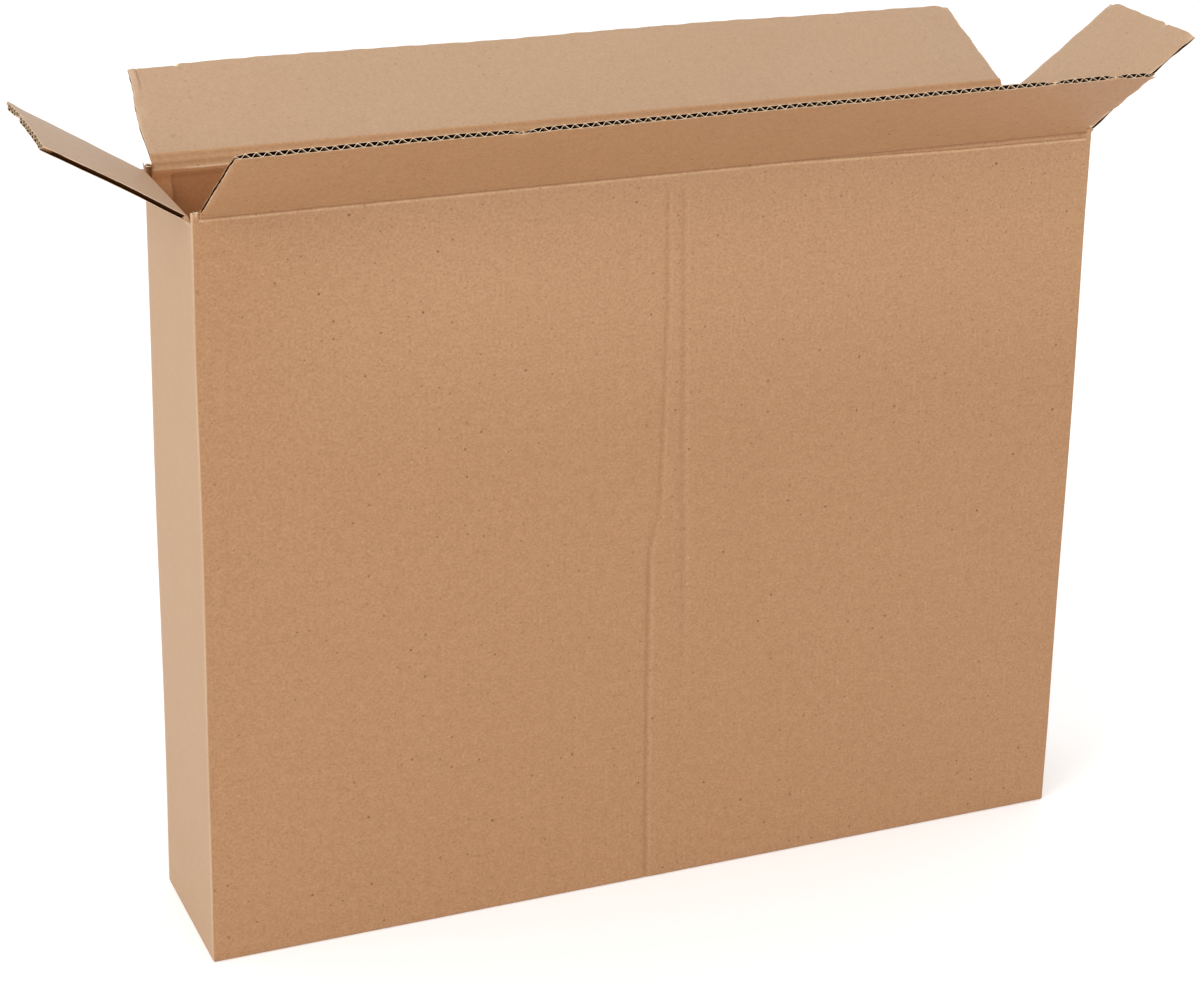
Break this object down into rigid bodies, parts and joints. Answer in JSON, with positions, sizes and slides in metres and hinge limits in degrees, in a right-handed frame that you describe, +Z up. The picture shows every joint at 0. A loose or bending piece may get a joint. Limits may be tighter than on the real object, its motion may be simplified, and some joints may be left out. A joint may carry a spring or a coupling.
{
  "type": "corrugated cardboard shipping carton",
  "caption": "Tall slim corrugated shipping carton, standing open with its long and short top flaps splayed outwards.",
  "frame": {"origin": "centre of the footprint, on the floor", "axes": "+X along the long front wall, -Y out of the front wall, +Z up"},
  "size_m": [0.9132, 0.3227, 0.6537],
  "materials": {
    "kraft_board": "matt brown kraft paper liner"
  },
  "bodies": {
    "carton_body": {"carton_body": "kraft_board"},
    "front_flap": {"front_flap": "kraft_board"},
    "back_flap": {"back_flap": "kraft_board"},
    "left_flap": {"left_flap": "kraft_board"},
    "right_flap": {"right_flap": "kraft_board"}
  },
  "joints": [
    {"name": "front_crease", "type": "hinge", "parent": "carton_body", "child": "front_flap", "pos_m": [0, -0.066, 0.584], "axis": [1, 0, 0], "range_deg": [-144, 121]},
    {"name": "back_crease", "type": "hinge", "parent": "carton_body", "child": "back_flap", "pos_m": [0, 0.066, 0.5883], "axis": [-1, 0, 0], "range_deg": [-156, 109]},
    {"name": "left_crease", "type": "hinge", "parent": "carton_body", "child": "left_flap", "pos_m": [-0.3595, 0, 0.5797], "axis": [0, -1, 0], "range_deg": [-149, 116]},
    {"name": "right_crease", "type": "hinge", "parent": "carton_body", "child": "right_flap", "pos_m": [0.3595, 0, 0.5797], "axis": [0, 1, 0], "range_deg": [-143, 122]}
  ]
}
